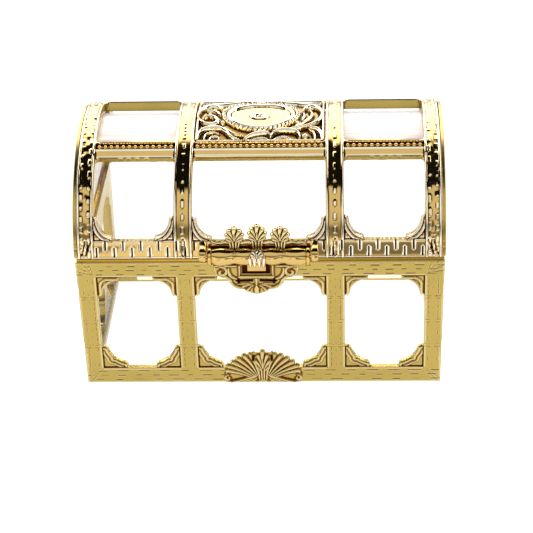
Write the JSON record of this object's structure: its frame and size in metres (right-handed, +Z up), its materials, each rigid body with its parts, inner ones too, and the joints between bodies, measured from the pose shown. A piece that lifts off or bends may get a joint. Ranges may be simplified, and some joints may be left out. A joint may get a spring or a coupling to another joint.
{
  "type": "treasure chest ornament",
  "caption": "Small gold-plated openwork treasure chest with a hinged barrel lid, clear window sheets, relief panel and a swinging front clasp.",
  "frame": {"origin": "middle of the chest's overall box, on its underside", "axes": "+X to the right along the length, +Y to the rear (hinges), -Y the front (clasp), +Z up"},
  "size_m": [0.1104, 0.082, 0.0768],
  "materials": {
    "gold": "gold-plated moulding, satin",
    "lid_gold": "gold-plated moulding, mirror bright",
    "clear": "clear polished sheet",
    "pin": "drawn wire"
  },
  "bodies": {
    "base": {"base_front_frame": "gold", "base_rear_frame": "gold", "base_left_frame": "gold", "base_right_frame": "gold", "base_floor_plate": "clear", "base_front_pane": "clear", "base_rear_pane": "clear", "base_left_pane": "clear", "base_right_pane": "clear", "shell_ornament": "gold", "lock_plate": "gold", "hinge_pin_left": "pin", "hinge_pin_right": "pin"},
    "lid": {"lid_barrel_frame": "lid_gold", "lid_left_end": "lid_gold", "lid_right_end": "lid_gold", "lid_barrel_pane": "clear", "lid_left_pane": "clear", "lid_right_pane": "clear", "lid_medallion_panel": "lid_gold", "lid_palmette_crest": "lid_gold", "clasp_left_lug": "lid_gold", "clasp_right_lug": "lid_gold"},
    "clasp": {"clasp_bar": "lid_gold", "clasp_pin": "pin"}
  },
  "joints": [
    {"name": "lid_hinge", "type": "hinge", "parent": "base", "child": "lid", "pos_m": [0, 0.03963, 0.0447], "axis": [-1, 0, 0], "range_deg": [0, 105]},
    {"name": "clasp_swing", "type": "hinge", "parent": "lid", "child": "clasp", "pos_m": [0, -0.03887, 0.0484], "axis": [-1, 0, 0], "range_deg": [0, 68]}
  ]
}
